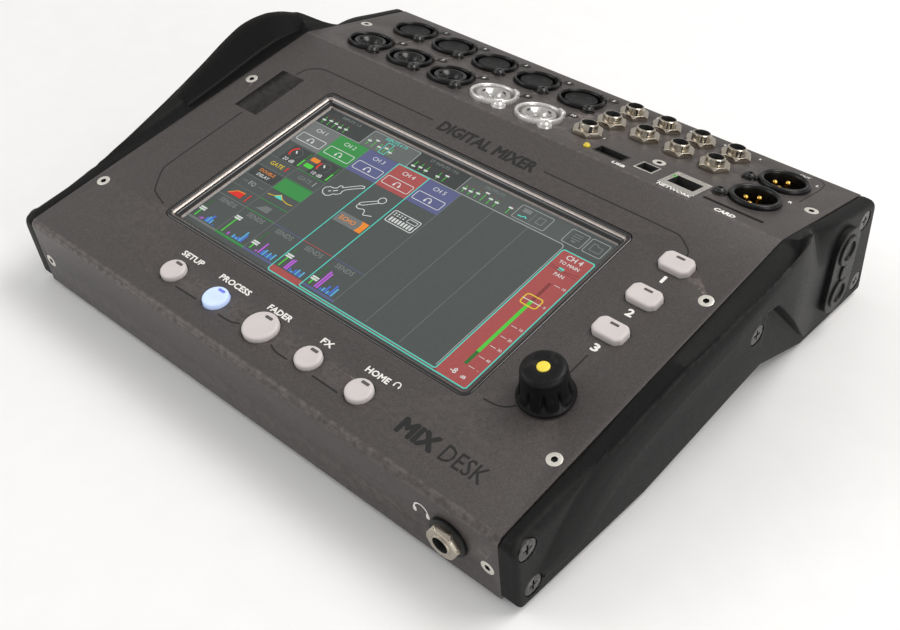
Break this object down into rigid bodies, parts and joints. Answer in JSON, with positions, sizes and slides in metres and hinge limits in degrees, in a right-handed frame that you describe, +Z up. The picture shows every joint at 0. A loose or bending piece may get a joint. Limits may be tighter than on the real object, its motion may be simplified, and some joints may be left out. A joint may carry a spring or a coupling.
{
  "type": "compact digital mixing desk",
  "caption": "Wedge-shaped desk-top mixing console: sloped panel with recessed touch screen, buttons, keys and a knob, a rear deck of round sockets and jacks, and winged plastic cheeks.",
  "frame": {"origin": "middle of the footprint, on the surface that the feet stand on", "axes": "+Z up; +Y from the operator towards the connector deck; +X to the operator's right"},
  "size_m": [0.284, 0.2334, 0.0736],
  "materials": {
    "top_chassis": "fine textured powder coat, satin",
    "base_tray": "powder coat, satin",
    "cheek_plastic": "fine grained, matt",
    "cheek_screws": "blackened steel",
    "screw_steel": "plated, satin",
    "screen_bezel": "polished",
    "touch_glass": "polished",
    "display_module": "lit display, matt",
    "black_plastic": "fine grained, satin",
    "button_silicone": "smooth silicone, matt",
    "control_knob": "soft touch, matt",
    "knob_cap": "moulded, satin",
    "socket_plastic": "moulded, satin",
    "output_pins": "gold plated",
    "nickel": "bright nickel plate",
    "port_shell": "tinned, satin",
    "status_lamp": "translucent",
    "circuit_board": "solder mask, satin",
    "bare_metal": "mill finish",
    "rubber_feet": "matt"
  },
  "bodies": {
    "desk": {"top_chassis": "top_chassis", "base_tray": "base_tray", "right_cheek": "cheek_plastic", "left_cheek": "cheek_plastic", "cheek_screws": "cheek_screws", "face_screws": "screw_steel", "screen_bezel": "screen_bezel", "touch_glass": "touch_glass", "display_module": "display_module", "display_bracket": "bare_metal", "antenna_window": "black_plastic", "control_boards": "circuit_board", "encoder_body": "black_plastic", "encoder_nut": "nickel", "combo_socket_1": "socket_plastic", "combo_socket_2": "socket_plastic", "combo_socket_3": "socket_plastic", "combo_socket_4": "socket_plastic", "combo_socket_5": "socket_plastic", "mic_inserts": "socket_plastic", "mic_socket_1": "socket_plastic", "mic_socket_2": "socket_plastic", "mic_socket_3": "socket_plastic", "mic_socket_4": "socket_plastic", "mic_socket_5": "socket_plastic", "output_socket_1": "socket_plastic", "output_socket_2": "socket_plastic", "output_pins": "output_pins", "socket_screws": "screw_steel", "line_jacks_a": "nickel", "line_jacks_b": "nickel", "line_jacks_c": "nickel", "line_jacks_d": "nickel", "line_jack_nuts": "nickel", "phones_jack": "nickel", "phones_washer": "black_plastic", "phones_nut": "nickel", "usb_a_port": "port_shell", "usb_b_port": "port_shell", "network_port": "port_shell", "card_reader": "bare_metal", "status_lamp": "status_lamp", "deck_board": "circuit_board", "main_board": "circuit_board", "board_posts": "bare_metal", "rubber_feet": "rubber_feet", "power_inlet": "black_plastic", "switch_frame": "black_plastic"},
    "button_1": {"round_button_1": "button_silicone"},
    "button_2": {"round_button_2": "button_silicone"},
    "button_3": {"round_button_3": "button_silicone"},
    "button_4": {"round_button_4": "button_silicone"},
    "button_5": {"round_button_5": "button_silicone"},
    "key_1": {"soft_key_1": "button_silicone"},
    "key_2": {"soft_key_2": "button_silicone"},
    "key_3": {"soft_key_3": "button_silicone"},
    "dial": {"control_knob": "control_knob", "knob_cap": "knob_cap", "encoder_shaft": "bare_metal"},
    "rocker": {"rocker_switch": "black_plastic"}
  },
  "joints": [
    {"name": "button_1_press", "type": "slide", "parent": "desk", "child": "button_1", "axis": [0, 0.1736, -0.9848], "range_m": [0, 0.001], "stiffness_N_per_m": 1200, "springref_m": -0.0004},
    {"name": "button_2_press", "type": "slide", "parent": "desk", "child": "button_2", "axis": [0, 0.1736, -0.9848], "range_m": [0, 0.001], "stiffness_N_per_m": 1200, "springref_m": -0.0004},
    {"name": "button_3_press", "type": "slide", "parent": "desk", "child": "button_3", "axis": [0, 0.1736, -0.9848], "range_m": [0, 0.001], "stiffness_N_per_m": 1200, "springref_m": -0.0004},
    {"name": "button_4_press", "type": "slide", "parent": "desk", "child": "button_4", "axis": [0, 0.1736, -0.9848], "range_m": [0, 0.001], "stiffness_N_per_m": 1200, "springref_m": -0.0004},
    {"name": "button_5_press", "type": "slide", "parent": "desk", "child": "button_5", "axis": [0, 0.1736, -0.9848], "range_m": [0, 0.001], "stiffness_N_per_m": 1200, "springref_m": -0.0004},
    {"name": "key_1_press", "type": "slide", "parent": "desk", "child": "key_1", "axis": [0, 0.1736, -0.9848], "range_m": [0, 0.001], "stiffness_N_per_m": 1200, "springref_m": -0.0004},
    {"name": "key_2_press", "type": "slide", "parent": "desk", "child": "key_2", "axis": [0, 0.1736, -0.9848], "range_m": [0, 0.001], "stiffness_N_per_m": 1200, "springref_m": -0.0004},
    {"name": "key_3_press", "type": "slide", "parent": "desk", "child": "key_3", "axis": [0, 0.1736, -0.9848], "range_m": [0, 0.001], "stiffness_N_per_m": 1200, "springref_m": -0.0004},
    {"name": "dial_turn", "type": "hinge", "parent": "desk", "child": "dial", "pos_m": [0.1027, -0.06147, 0.04323], "axis": [0, -0.1736, 0.9848], "continuous": true},
    {"name": "rocker_tip", "type": "hinge", "parent": "desk", "child": "rocker", "pos_m": [0.062, 0.11017, 0.02545], "axis": [0, -0.1428, 0.9897], "range_deg": [0, 9]}
  ]
}
